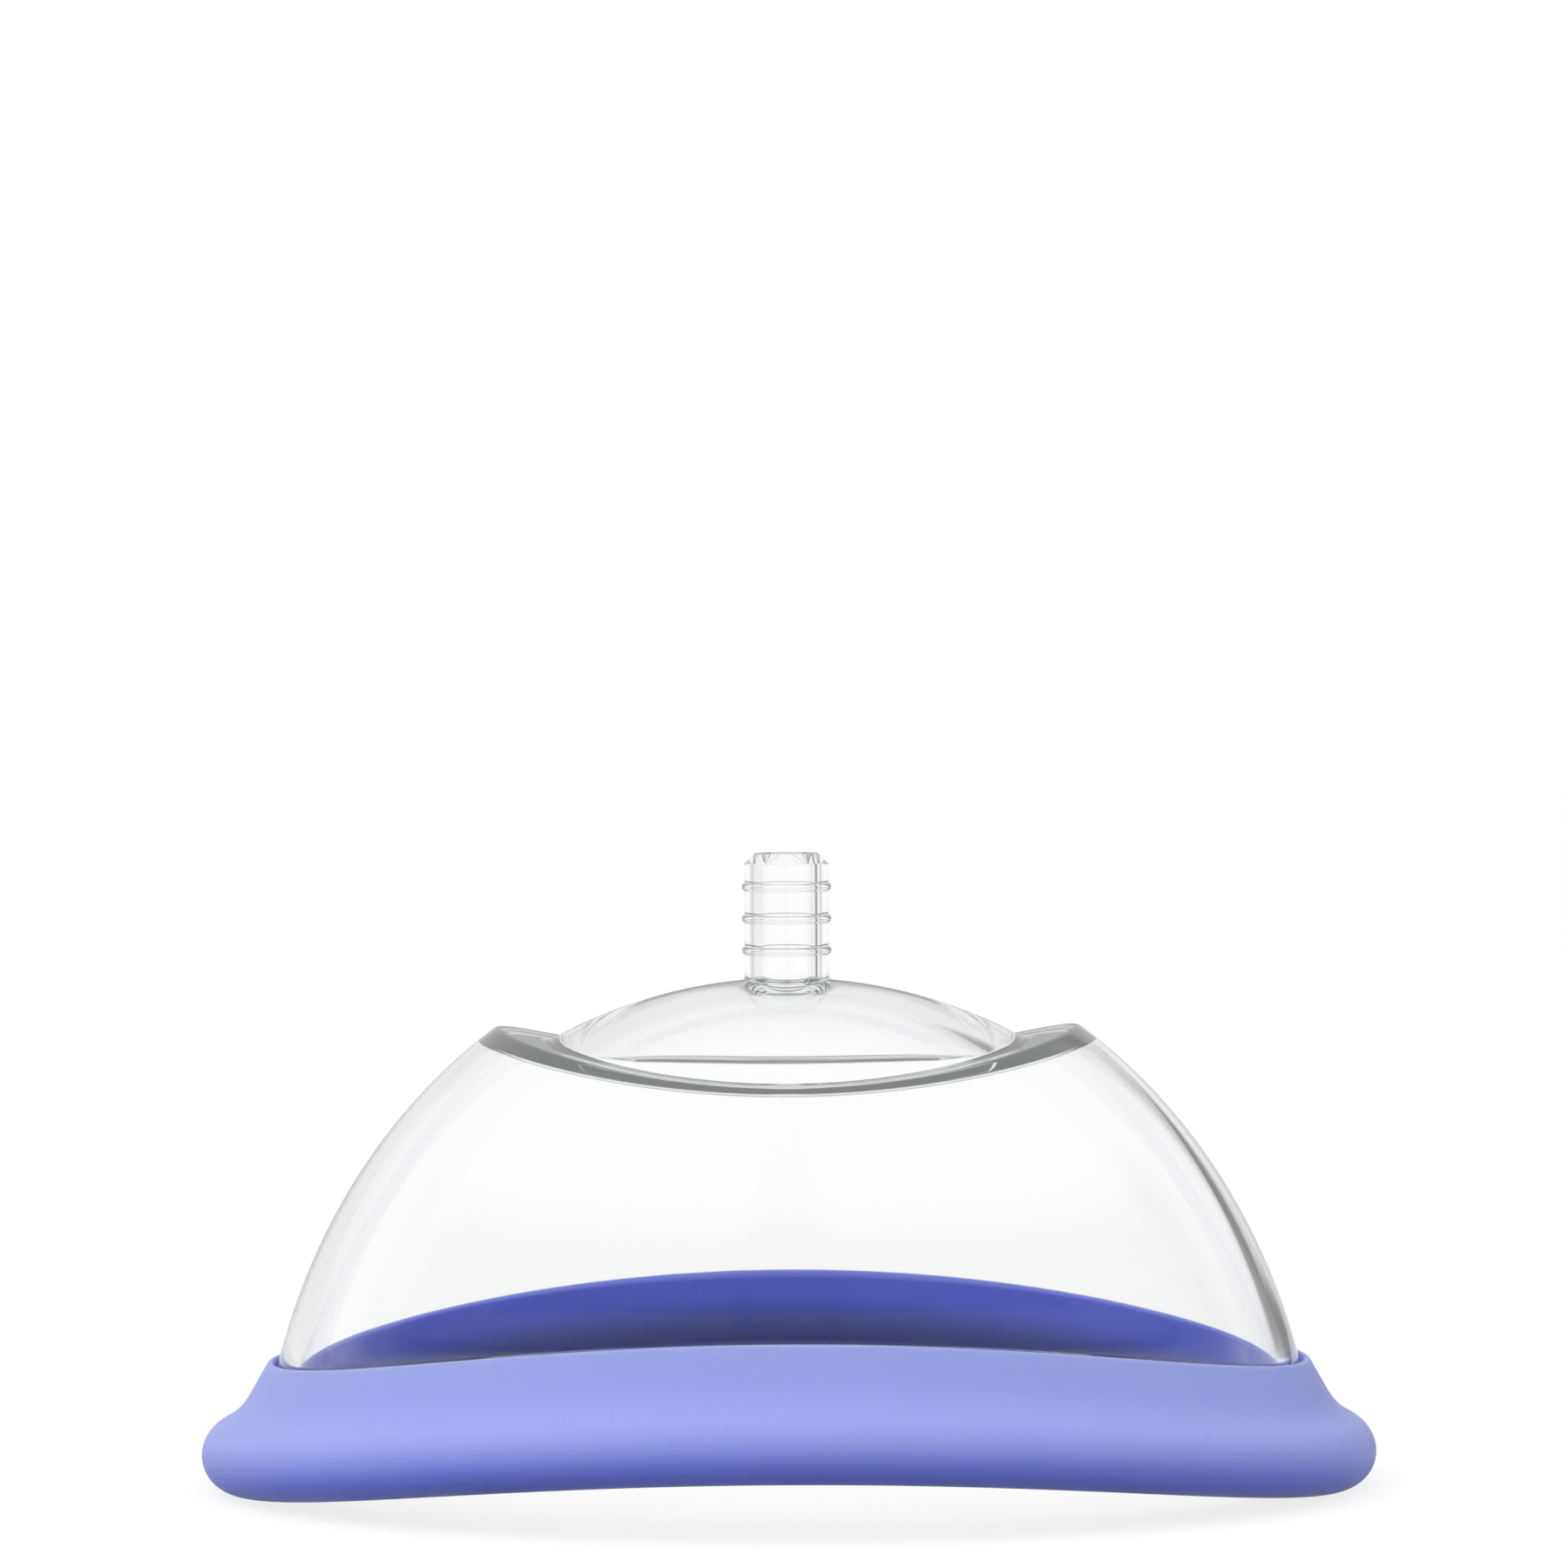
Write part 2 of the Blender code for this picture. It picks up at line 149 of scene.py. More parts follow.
class RimSettings(bpy.types.PropertyGroup):
    """Sizes and finish of the silicone rim."""

    arch: length("Arch", "How far the rim is lifted at the sides", 0.0050)
    saddle_power: amount("Saddle power", "How late the saddle rises from the ends", 1.2)
    lip_cover: length("Lip cover", "How far the lip reaches over the dome's straight edge", 0.0006)
    lip_reach: length("Lip reach", "Outside of the lip, from the dome's edge", 0.0010)
    slope: angle("Slope", "Lean of the straight slope under the lip, from upright", 29.5)
    flare_radius: length("Flare radius", "Hollow between the slope and the bulb", 0.0062)
    bulb_radius: length("Bulb radius", "Rounding of the bulb that meets the skin", 0.0033)
    bulb_reach: length("Bulb reach", "Outside of the bulb, from the dome's edge", 0.00703)
    seat_height: length("Seat height", "Height of the dome's lower edge above the rim's foot", 0.0042)
    seat_width: length("Seat width", "Width of the shoulder under the dome", 0.0026)
    inner_radius: length("Inner edge radius", "Rounding of the inner edge", 0.0008)
    inner_lift: length("Inner edge lift", "Height of the inner edge above the foot", 0.0010)
    fit: length("Fit", "Room between the dome and the groove", 0.00005)
    # Painted sheen: a paler colour painted on faces that look up and out, standing in for light from above.
    painted_sheen_colour: colour("Bloom colour", "Pale bloom, where it faces up and out", (0.362, 0.410, 0.890))
    deep_colour: colour("Deep colour", "Silicone where it faces down or in", (0.180, 0.230, 0.940))
    # Painted shade: a dark colour painted on inner faces low in the groove, darker towards the bottom.
    groove_shade_colour: colour("Pressed colour", "Silicone low in the groove", (0.060, 0.075, 0.34))
    mottle: amount("Mottle", "How much the bloom varies from place to place", 0.12)
    scatter: amount("Scatter", "Share of light that passes under the skin of the silicone", 0.70)
    scatter_depth: length("Scatter depth", "How far blue light travels in the silicone", 0.0030)
    grain_size: length("Grain size", "Size of the satin grain", 0.00014)


class StudioSettings(bpy.types.PropertyGroup):
    """Camera, light and floor."""

    focal_pixels: amount("Focal pixels", "Focal length in pixels of the photograph", 5435.0)
    distance: length("Camera distance", "From the camera to the nozzle's axis", 0.4476)
    eye_height: length("Eye height", "Height of the camera over the floor", 0.0727)
    axis_column: amount("Axis column", "Column of the photograph that holds the nozzle's axis", 902.0)
    horizon_row: amount("Horizon row", "Row of the photograph that holds the horizon", 820.0)
    roll: angle("Roll", "Turn of the camera about its own axis", 0.26)
    floor_half_side: length("Floor half side", "Half of the floor's side", 4.0)
    floor_tone: amount("Floor tone", "Share of light that the floor sends back", 0.25)
    sky_light: amount("Sky light", "Strength of the light from all round", 0.75)
    front_light: amount("Front light", "How much stronger the sky is in front, and weaker behind", 0.45)


# Surfaces worked out on grids

HALVINGS = 50
LENGTH_CHORDS = 64
ELLIPSOID_EDGE = 0.999999


def oval_spread(turn, half_x, half_y):
    """One over the squared radius of an oval in a plan direction: cos² / half_x² + sin² / half_y²."""
    return (np.cos(turn) / half_x)**2 + (np.sin(turn) / half_y)**2


def straight(start, end):
    """A straight stretch: start + (end − start) · t, for arrays of start and end points."""
    return lambda t: start[:, None, :] + (end - start)[:, None, :] * t[..., None]


def along_ellipsoid(spread, rise, centre, start, end):
    """A stretch down an ellipsoid between two fall angles a.

    radius = sin a / √spread, height = centre + rise · cos a.
    """
    def curve(t):
        fall = start[:, None] + (end - start)[:, None] * t
        return np.stack([np.sin(fall) / np.sqrt(spread)[:, None], centre + rise * np.cos(fall)], axis=-1)
    return curve


def along_arc(centre, radii, start, end):
    """A stretch of an upright oval arc: centre + radii · (cos a, sin a), with a from start to end."""
    def curve(t):
        turn = start + (end - start) * t
        return centre + np.stack([radii[0] * np.cos(turn), radii[1] * np.sin(turn)], axis=-1)
    return curve


def along_ledge(turn, height, radius, start, end):
    """A stretch out along the ledge, whose height is that of a hollow cylinder lying across the cup.

    height = lowest point + radius − √(radius² − x²), with x = distance · cos(plan direction).
    """
    def curve(t):
        reach = start[:, None] + (end - start)[:, None] * t
        return np.stack([reach, ledge_level(reach, turn[:, None], height, radius)], axis=-1)
    return curve


def ledge_level(reach, turn, height, radius):
    """Height of the ledge's cylinder at a distance from the axis in a plan direction."""
    return height + radius - np.sqrt(radius**2 - (reach * np.cos(turn))**2)


def crossing(gap, low, high):
    """Where a gap that falls along a range comes to nothing, by halving the range that holds it."""
    for _ in range(HALVINGS):
        middle = (low + high) / 2
        before = gap(middle) > 0
        low = np.where(before, middle, low)
        high = np.where(before, high, middle)
    return (low + high) / 2


def ledge_meeting(spread, rise, centre, turn, height, radius):
    """Distance from the axis at which an ellipsoid comes down to the ledge's cylinder."""
    def gap(reach):
        return centre + rise * np.sqrt(1 - reach**2 * spread) - ledge_level(reach, turn, height, radius)
    return crossing(gap, np.zeros_like(turn), ELLIPSOID_EDGE / np.sqrt(spread))


def fall_angle(reach, spread):
    """Angle from an ellipsoid's top where it is a distance from the axis: asin(reach · √spread)."""
    return np.arcsin(np.clip(reach * np.sqrt(spread), 0, 1))


def stretch_length(curve, rows):
    """Length of a stretch in each of its rows, from a run of short chords."""
    points = curve(np.tile(np.linspace(0, 1, LENGTH_CHORDS + 1), (rows, 1)))
    return np.linalg.norm(np.diff(points, axis=1), axis=-1).sum(axis=1)


def rounded_loop(stretches, rows, corner_steps):
    """Join stretches end to end into closed loops, one loop a row, and round the corners between them.

    A stretch is (curve, steps, trim): its trim is cut from its end and from the next one's start. The cut
    ends are joined by a parabola with the corner as its control point:
    (1 − t)² · a + 2t(1 − t) · corner + t² · b.
    """
    lengths = [stretch_length(curve, rows) for curve, _, _ in stretches]
    parts = []
    for here, (curve, steps, trim) in enumerate(stretches):
        ahead = (here + 1) % len(stretches)
        first = stretches[here - 1][2] / lengths[here]
        last = 1 - trim / lengths[here]
        share = first[:, None] + (last - first)[:, None] * np.linspace(0, 1, steps)
        body = curve(share)
        parts.append(body if trim else body[:, :-1])
        if trim:
            corner = curve(np.ones((rows, 1)))
            after = stretches[ahead][0]((trim / lengths[ahead])[:, None])
            t = np.linspace(0, 1, corner_steps)[1:-1, None]
            parts.append((1 - t)**2 * body[:, -1:] + 2 * t * (1 - t) * corner + t**2 * after)
    return np.concatenate(parts, axis=1)


def hollow_reach(turn, height, dome):
    """Distance from the axis to the hollow's wall at a height, where the hollow's section is an oval.

    Each half axis is (outer half axis − wall) · √(1 − ((height − centre) / rise)²). The rise across the cup
    falls a little short of the dome's.
    """
    climb = height - dome.centre_height
    half_x = (dome.half_length - dome.end_wall) * np.sqrt(1 - (climb / dome.rise)**2)
    half_y = (dome.half_width - dome.side_wall) * np.sqrt(1 - (climb / (dome.rise - dome.side_drop))**2)
    return 1 / np.sqrt(oval_spread(turn, half_x, half_y))


def along_hollow(turn, dome, start, end):
    """A stretch up the hollow's wall between two heights."""
    def curve(t):
        height = start[:, None] + (end - start)[:, None] * t
        return np.stack([hollow_reach(turn[:, None], height, dome), height], axis=-1)
    return curve


def saddle_lift(x, y, rim, half_x, half_y):
    """Lift of the rim over a plan point: arch · (across² / (along² + across²)) to the saddle's power."""
    along = (x / half_x)**2
    across = (y / half_y)**2
    return rim.arch * (across / (along + across))**rim.saddle_power


def edge_half_axes(dome, rim):
    """Half axes of the dome's straight edge, which starts just under the lip at ends and sides."""
    lip_end = RIM_HIGH.z - rim.arch - rim.lip_cover
    lip_side = RIM_HIGH.z - rim.lip_cover
    share = (np.array([lip_end, lip_side]) - dome.centre_height) / dome.rise
    return np.array([dome.half_length, dome.half_width]) * np.sqrt(1 - share**2)


def skirt_half_axes(dome, rim):
    """Half axes of the straight foot of the hollow, which starts level with the dome's straight edge."""
    lip_end = np.array(RIM_HIGH.z - rim.arch - rim.lip_cover)
    lip_side = np.array(RIM_HIGH.z - rim.lip_cover)
    return hollow_reach(0.0, lip_end, dome), hollow_reach(math.pi / 2, lip_side, dome)


def grid_object(name, points, material):
    """An object whose mesh is a grid of points that joins up both ways, with its faces pointing out.

    Faces lie between neighbouring rows and columns. They are turned over if the volume that they enclose, a
    sixth of the sum of a · (b × c) over their triangles, comes out negative.
    """
    rows, columns = points.shape[:2]
    index = np.arange(rows * columns).reshape(rows, columns)
    ahead = np.roll(index, -1, axis=0)
    faces = np.stack([index, ahead, np.roll(ahead, -1, axis=1), np.roll(index, -1, axis=1)], axis=-1)
    faces = faces.reshape(-1, 4)
    places = points.reshape(-1, 3)
    a, b, c, d = (places[faces[:, corner]] for corner in range(4))
    volume = (a * (np.cross(b, c) + np.cross(c, d))).sum() / 6
    if volume < 0:
        faces = faces[:, ::-1]
    mesh = bpy.data.meshes.new(name)
    mesh.from_pydata(places.tolist(), [], faces.tolist())
    mesh.shade_smooth()
    mesh.materials.append(material)
    item = bpy.data.objects.new(name, mesh)
    bpy.context.scene.collection.objects.link(item)
    return item


# Dome

PLAN_STEPS = 240
CORNER_STEPS = 6
TIP_STEPS = 4
NOZZLE_SIDE_STEPS = 5
BEAD_STEPS = 9
ROOT_STEPS = 6
CROWN_STEPS = 40
LEDGE_STEPS = 12
WALL_STEPS = 70
EDGE_STEPS = 8
EDGE_FOOT_STEPS = 4
BORE_STEPS = 8
SKIRT_SEARCH_TOP = 0.030
HOLLOW_SEARCH_TOP = 0.049


def nozzle_stretches(dome, crown_level, rows):
    """The nozzle from the bore's top edge to its root on the crown: tip, chamfer, and sides with beads.

    A bead is half an oval that stands out from the side.
    """
    def fixed(radius, height):
        return np.tile(np.array([radius, height]), (rows, 1))

    tip = dome.nozzle_top
    inner_edge = fixed(dome.bore_radius, tip)
    outer_edge = fixed(dome.nozzle_radius - dome.nozzle_chamfer, tip)
    above = fixed(dome.nozzle_radius, tip - dome.nozzle_chamfer)
    stretches = [
        (straight(inner_edge, outer_edge), TIP_STEPS, dome.fine_round),
        (straight(outer_edge, above), TIP_STEPS, dome.fine_round),
    ]
    for bead in range(dome.bead_count):
        middle = tip - dome.top_bead_drop - bead * dome.bead_pitch
        upper = fixed(dome.nozzle_radius, middle + dome.bead_half_width)
        round_bead = along_arc(
            np.array([dome.nozzle_radius, middle]),
            np.array([dome.bead_height, dome.bead_half_width]),
            math.pi / 2,
            -math.pi / 2,
        )
        stretches.append((straight(above, upper), NOZZLE_SIDE_STEPS, dome.fine_round / 2))
        stretches.append((round_bead, BEAD_STEPS, dome.fine_round / 2))
        above = fixed(dome.nozzle_radius, middle - dome.bead_half_width)
    root = np.stack([np.full(rows, dome.nozzle_radius), crown_level], axis=-1)
    stretches.append((straight(above, root), ROOT_STEPS, dome.root_round))
    return stretches


def dome_points(dome, rim):
    """The dome as a grid: plan direction by place on a closed profile of distance from the axis and height.

    The profile runs over the nozzle, down the crown's ellipsoid, out along the ledge, down the outer
    ellipsoid, down the straight edge, in under it, up the hollow's straight foot and its curved wall, in
    along the ledge's underside, up the ceiling under the crown and up the bore.
    """
    station = np.arange(PLAN_STEPS) * math.tau / PLAN_STEPS
    turn = np.arctan2(dome.half_width * np.sin(station), dome.half_length * np.cos(station))
    centre = dome.centre_height
    crown_x = dome.half_length - dome.step_lengthwise
    crown_y = dome.half_width - dome.step_crosswise
    crown_rise = dome.rise - dome.step_down
    ceiling_rise = crown_rise - dome.crown_wall
    outer = oval_spread(turn, dome.half_length, dome.half_width)
    crown = oval_spread(turn, crown_x, crown_y)
    ceiling = oval_spread(turn, crown_x - dome.ceiling_end_wall, crown_y - dome.ceiling_side_wall)
    edge_x, edge_y = edge_half_axes(dome, rim)
    edge = 1 / np.sqrt(oval_spread(turn, edge_x, edge_y))
    ledge = (turn, dome.ledge_height, dome.ledge_radius)
    underside = (turn, dome.ledge_height - dome.ledge_wall, dome.underside_radius)

    root = fall_angle(dome.nozzle_radius, crown)
    crown_foot = ledge_meeting(crown, crown_rise, centre, *ledge)
    ledge_end = ledge_meeting(outer, dome.rise, centre, *ledge)
    edge_fall = fall_angle(edge, outer)
    edge_top = np.stack([edge, centre + dome.rise * np.cos(edge_fall)], axis=-1)
    seat = rim.seat_height + saddle_lift(np.cos(turn), np.sin(turn), rim, edge_x, edge_y)
    edge_foot = np.stack([edge, seat], axis=-1)
    skirt = 1 / np.sqrt(oval_spread(turn, *skirt_half_axes(dome, rim)))
    skirt_top = crossing(
        lambda height: hollow_reach(turn, height, dome) - skirt,
        seat,
        np.full(PLAN_STEPS, SKIRT_SEARCH_TOP),
    )
    skirt_foot = np.stack([skirt, seat], axis=-1)
    skirt_end = np.stack([skirt, skirt_top], axis=-1)
    hollow_top = crossing(
        lambda height: ledge_level(hollow_reach(turn, height, dome), *underside) - height,
        skirt_top,
        np.full(PLAN_STEPS, HOLLOW_SEARCH_TOP),
    )
    hollow_end = hollow_reach(turn, hollow_top, dome)
    ceiling_foot = ledge_meeting(ceiling, ceiling_rise, centre, *underside)
    bore_fall = fall_angle(dome.bore_radius, ceiling)
    bore = np.full(PLAN_STEPS, dome.bore_radius)
    bore_foot = np.stack([bore, centre + ceiling_rise * np.cos(bore_fall)], axis=-1)
    bore_top = np.tile(np.array([dome.bore_radius, dome.nozzle_top]), (PLAN_STEPS, 1))

    crown_curve = along_ellipsoid(crown, crown_rise, centre, root, fall_angle(crown_foot, crown))
    outer_curve = along_ellipsoid(outer, dome.rise, centre, fall_angle(ledge_end, outer), edge_fall)
    ceiling_start = fall_angle(ceiling_foot, ceiling)
    ceiling_curve = along_ellipsoid(ceiling, ceiling_rise, centre, ceiling_start, bore_fall)

    stretches = nozzle_stretches(dome, centre + crown_rise * np.cos(root), PLAN_STEPS)
    stretches += [
        (crown_curve, CROWN_STEPS, dome.crown_round),
        (along_ledge(*ledge, crown_foot, ledge_end), LEDGE_STEPS, dome.ledge_round),
        (outer_curve, WALL_STEPS, dome.edge_round),
        (straight(edge_top, edge_foot), EDGE_STEPS, dome.edge_round),
        (straight(edge_foot, skirt_foot), EDGE_FOOT_STEPS, dome.edge_round),
        (straight(skirt_foot, skirt_end), EDGE_STEPS, dome.edge_round),
        (along_hollow(turn, dome, skirt_top, hollow_top), WALL_STEPS, dome.ledge_round),
        (along_ledge(*underside, hollow_end, ceiling_foot), LEDGE_STEPS, dome.crown_round),
        (ceiling_curve, CROWN_STEPS, dome.fine_round),
        (straight(bore_foot, bore_top), BORE_STEPS, dome.fine_round),
    ]
    profile = rounded_loop(stretches, PLAN_STEPS, CORNER_STEPS)
    reach = profile[..., 0]
    x = reach * np.cos(turn)[:, None]
    y = reach * np.sin(turn)[:, None]
    return np.stack([x, y, profile[..., 1]], axis=-1)


# Rim

RIM_STEPS = 420
GROOVE_STEPS = 8
LIP_STEPS = 16
SLOPE_STEPS = 8
FLARE_STEPS = 16
BULB_STEPS = 40
UNDERSIDE_STEPS = 10
INNER_EDGE_STEPS = 10
SHOULDER_STEPS = 6
SHOULDER_ROUND = 0.0002
SECTION_HEIGHT = "section_height"


def rim_section(rim):
    """The rim's section as a closed loop of (distance out from the dome's edge, height above the foot).

    It climbs the groove, goes over the round lip, down the straight slope, through the hollow flare, round
    the bulb, in along the underside, round the inner edge and back over the shoulder. The flare's centre
    lies a flare's radius out from the slope, and a flare's and a bulb's radius from the bulb's centre.
    """
    height = RIM_HIGH.z - rim.arch
    lip_radius = (rim.lip_reach - rim.fit) / 2
    lip = np.array([rim.fit + lip_radius, height - lip_radius])
    bulb = np.array([rim.bulb_reach - rim.bulb_radius, rim.bulb_radius + CAD_LOW.z])
    inner = np.array([rim.inner_radius - rim.seat_width, rim.inner_radius + rim.inner_lift])
    out = np.array([math.cos(rim.slope), math.sin(rim.slope)])
    down = np.array([math.sin(rim.slope), -math.cos(rim.slope)])

    beside = lip + out * (lip_radius + rim.flare_radius)
    descent = (bulb - beside) @ down
    reach = rim.flare_radius + rim.bulb_radius
    flare = beside + down * (descent - math.sqrt(descent**2 - (beside - bulb) @ (beside - bulb) + reach**2))
    flare_end = math.atan2(*(bulb - flare)[::-1]) % math.tau
    between = bulb - inner
    spread = math.acos((rim.inner_radius - rim.bulb_radius) / math.hypot(*between))
    underside = math.atan2(*between[::-1]) - spread
    under = np.array([math.cos(underside), math.sin(underside)])
    shoulder = rim.seat_height - rim.fit

    def ends(*points):
        return [np.array([point]) for point in points]

    groove_ends = ends((rim.fit, shoulder), (rim.fit, lip[1]))
    slope_ends = ends(lip + out * lip_radius, flare - out * rim.flare_radius)
    underside_ends = ends(bulb + under * rim.bulb_radius, inner + under * rim.inner_radius)
    inner_ends = ends((-rim.seat_width, inner[1]), (-rim.seat_width, shoulder))
    shoulder_ends = ends((-rim.seat_width, shoulder), (rim.fit, shoulder))
    stretches = [
        (straight(*groove_ends), GROOVE_STEPS, 0),
        (along_arc(lip, (lip_radius,) * 2, math.pi, rim.slope), LIP_STEPS, 0),
        (straight(*slope_ends), SLOPE_STEPS, 0),
        (along_arc(flare, (rim.flare_radius,) * 2, math.pi + rim.slope, flare_end), FLARE_STEPS, 0),
        (along_arc(bulb, (rim.bulb_radius,) * 2, flare_end - math.pi, underside), BULB_STEPS, 0),
        (straight(*underside_ends), UNDERSIDE_STEPS, 0),
        (along_arc(inner, (rim.inner_radius,) * 2, underside, -math.pi), INNER_EDGE_STEPS, 0),
        (straight(*inner_ends), SHOULDER_STEPS, SHOULDER_ROUND),
        (straight(*shoulder_ends), SHOULDER_STEPS, SHOULDER_ROUND),
    ]
    return rounded_loop(stretches, 1, CORNER_STEPS)[0]


def rim_points(dome, rim):
    """The rim as a grid: its section carried round the oval edge, square to it, and lifted to the saddle.

    place = edge(t) + outward normal(t) · distance, and height + saddle lift over that plan point. The
    heights before the lift are given too, for the painted shade low in the groove.
    """
    half_x, half_y = edge_half_axes(dome, rim)
    turn = (np.arange(RIM_STEPS) * math.tau / RIM_STEPS)[:, None]
    normal = np.stack([half_y * np.cos(turn), half_x * np.sin(turn)])
    normal /= np.linalg.norm(normal, axis=0)
    distance, height = rim_section(rim).T
    x = half_x * np.cos(turn) + normal[0] * distance
    y = half_y * np.sin(turn) + normal[1] * distance
    points = np.stack([x, y, height + saddle_lift(x, y, rim, half_x, half_y)], axis=-1)
    return points, np.broadcast_to(height, x.shape)


# Finishes

LAST_REFLECTION = 4
MOTTLE_DETAIL = 3.0
GRAIN_DETAIL = 2.0
FIRST_SIZE = 0.001
PLASTIC_MOTTLE_SIZE = 0.012
PLASTIC_RIPPLE_SIZE = 0.006
HAZE_MOTTLE = (0.35, 0.75)
HAZE_ROUGHNESS = (0.0, 0.02)
RIPPLE_STRENGTH = 0.02
RIPPLE_DEPTH = 0.0001
SILICONE_REFRACTION = 1.41
SILICONE_MOTTLE_SIZE = 0.009
SCATTER_SHARES = (0.35, 0.40, 1.0)
# Painted sheen: normal ranges over which the paler colour is painted on faces that look out and up.
PAINTED_SHEEN_OUTWARD = (-0.7, 0.0)
PAINTED_SHEEN_UPWARD = (-0.90, 0.55)
# Painted shade: section heights over which the painted shade low in the groove fades out.
GROOVE_SHADE_HEIGHTS = (0.0047, 0.0100)
SATIN_MOTTLE = (0.3, 0.7)
SATIN_ROUGHNESS = (0.48, 0.56)
GRAIN_STRENGTH = 0.10
GRAIN_DEPTH = 0.00003


def add_node(tree, kind, inputs=None, **settings):
    """A new node with its settings and the values of its unlinked inputs."""
    node = tree.nodes.new(kind)
    for name, value in settings.items():
        setattr(node, name, value)
    for name, value in (inputs or {}).items():
        node.inputs[name].default_value = value
    return node


def smooth_step(tree, source, low, high):
    """A smooth climb from 0 to 1 while a value goes from low to high."""
    ends = {"From Min": low, "From Max": high}
    step = add_node(tree, "ShaderNodeMapRange", ends, interpolation_type="SMOOTHSTEP")
    tree.links.new(source, step.inputs["Value"])
    return step.outputs["Result"]


def even_climb(tree, source, source_ends, result_ends):
    """An even climb between two results while a value goes between its own two ends."""
    ends = {
        "From Min": source_ends[0],
        "From Max": source_ends[1],
        "To Min": result_ends[0],
        "To Max": result_ends[1],
    }
    climb = add_node(tree, "ShaderNodeMapRange", ends)
    tree.links.new(source, climb.inputs["Value"])
    return climb.outputs["Result"]


def arithmetic(tree, operation, first, second, **settings):
    """The outcome of an operation on two values, each of which is a socket or a number."""
    node = add_node(tree, "ShaderNodeMath", operation=operation, **settings)
    for place, value in enumerate((first, second)):
        if isinstance(value, bpy.types.NodeSocket):
            tree.links.new(value, node.inputs[place])
        else:
            node.inputs[place].default_value = value
    return node.outputs[0]


def moulded_surface_group():
    """Node group for the skin of a moulding: a broad mottle and a fine grain, each between 0 and 1."""
    group = bpy.data.node_groups.new("moulded_surface", "ShaderNodeTree")
    for name in ("Mottle Size", "Grain Size"):
        socket = group.interface.new_socket(name, in_out="INPUT", socket_type="NodeSocketFloat")
        socket.default_value = FIRST_SIZE
    for name in ("Mottle", "Grain"):
        group.interface.new_socket(name, in_out="OUTPUT", socket_type="NodeSocketFloat")
    inside = add_node(group, "NodeGroupInput")
    outside = add_node(group, "NodeGroupOutput")
    place = add_node(group, "ShaderNodeTexCoord")
    for name, detail in (("Mottle", MOTTLE_DETAIL), ("Grain", GRAIN_DETAIL)):
        fineness = arithmetic(group, "DIVIDE", 1.0, inside.outputs[name + " Size"])
        noise = add_node(group, "ShaderNodeTexNoise", {"Detail": detail})
        group.links.new(fineness, noise.inputs["Scale"])
        group.links.new(place.outputs["Object"], noise.inputs["Vector"])
        group.links.new(noise.outputs["Fac"], outside.inputs[name])
    return group


def new_material(name):
    """A material with its tree, its Principled shader and its output node."""
    material = bpy.data.materials.new(name)
    material.use_nodes = True
    tree = material.node_tree
    return material, tree, tree.nodes["Principled BSDF"], tree.nodes["Material Output"]


def moulded_skin(tree, mottle_size, grain_size):
    """The moulded surface group, placed in a material with its own sizes."""
    group = bpy.data.node_groups.get("moulded_surface") or moulded_surface_group()
    skin = add_node(tree, "ShaderNodeGroup", node_tree=group)
    skin.inputs["Mottle Size"].default_value = mottle_size
    skin.inputs["Grain Size"].default_value = grain_size
    return skin


def clear_plastic(dome):
    """Polished clear plastic: glass-like, with a faint haze that varies and the slow ripple of a moulding.

    Light that is still caught inside after the last reflection that the renderer follows comes out as a
    pale glow. The glow lights nothing else.
    """
    material, tree, shader, output = new_material("clear_plastic_polished")
    shader.inputs["Base Color"].default_value = (*dome.tint, 1)
    shader.inputs["IOR"].default_value = dome.refraction
    shader.inputs["Transmission Weight"].default_value = 1.0
    shader.inputs["Emission Strength"].default_value = dome.caught_light
    material.cycles.emission_sampling = "NONE"
    skin = moulded_skin(tree, PLASTIC_MOTTLE_SIZE, PLASTIC_RIPPLE_SIZE)
    haze = even_climb(tree, skin.outputs["Mottle"], HAZE_MOTTLE, HAZE_ROUGHNESS)
    ripple = add_node(tree, "ShaderNodeBump", {"Strength": RIPPLE_STRENGTH, "Distance": RIPPLE_DEPTH})
    depth = add_node(tree, "ShaderNodeVolumeAbsorption", {"Color": (*dome.depth_tint, 1)})
    depth.inputs["Density"].default_value = dome.depth_density
    path = add_node(tree, "ShaderNodeLightPath")
    caught = arithmetic(tree, "GREATER_THAN", path.outputs["Glossy Depth"], LAST_REFLECTION - 0.5)
    tree.links.new(haze, shader.inputs["Roughness"])
    tree.links.new(skin.outputs["Grain"], ripple.inputs["Height"])
    tree.links.new(ripple.outputs["Normal"], shader.inputs["Normal"])
    tree.links.new(depth.outputs["Volume"], output.inputs["Volume"])
    tree.links.new(caught, shader.inputs["Emission Color"])
    return material


def outward_lean(tree, place):
    """How far a face leans away from the cup's axis: its normal · the plan direction from the axis."""
    plan = add_node(tree, "ShaderNodeVectorMath", {1: (1, 1, 0)}, operation="MULTIPLY")
    outward = add_node(tree, "ShaderNodeVectorMath", operation="NORMALIZE")
    lean = add_node(tree, "ShaderNodeVectorMath", operation="DOT_PRODUCT")
    tree.links.new(place.outputs["Object"], plan.inputs[0])
    tree.links.new(plan.outputs[0], outward.inputs[0])
    tree.links.new(outward.outputs[0], lean.inputs[0])
    tree.links.new(place.outputs["Normal"], lean.inputs[1])
    return lean.outputs["Value"]


def blend_colours(tree, share, first, second):
    """A blend from the first colour to the second, each of which is a socket or a plain colour."""
    blend = add_node(tree, "ShaderNodeMix", data_type="RGBA")
    tree.links.new(share, blend.inputs["Factor"])
    for name, value in (("A", first), ("B", second)):
        if isinstance(value, bpy.types.NodeSocket):
            tree.links.new(value, blend.inputs[name])
        else:
            blend.inputs[name].default_value = (*value, 1)
    return blend.outputs["Result"]


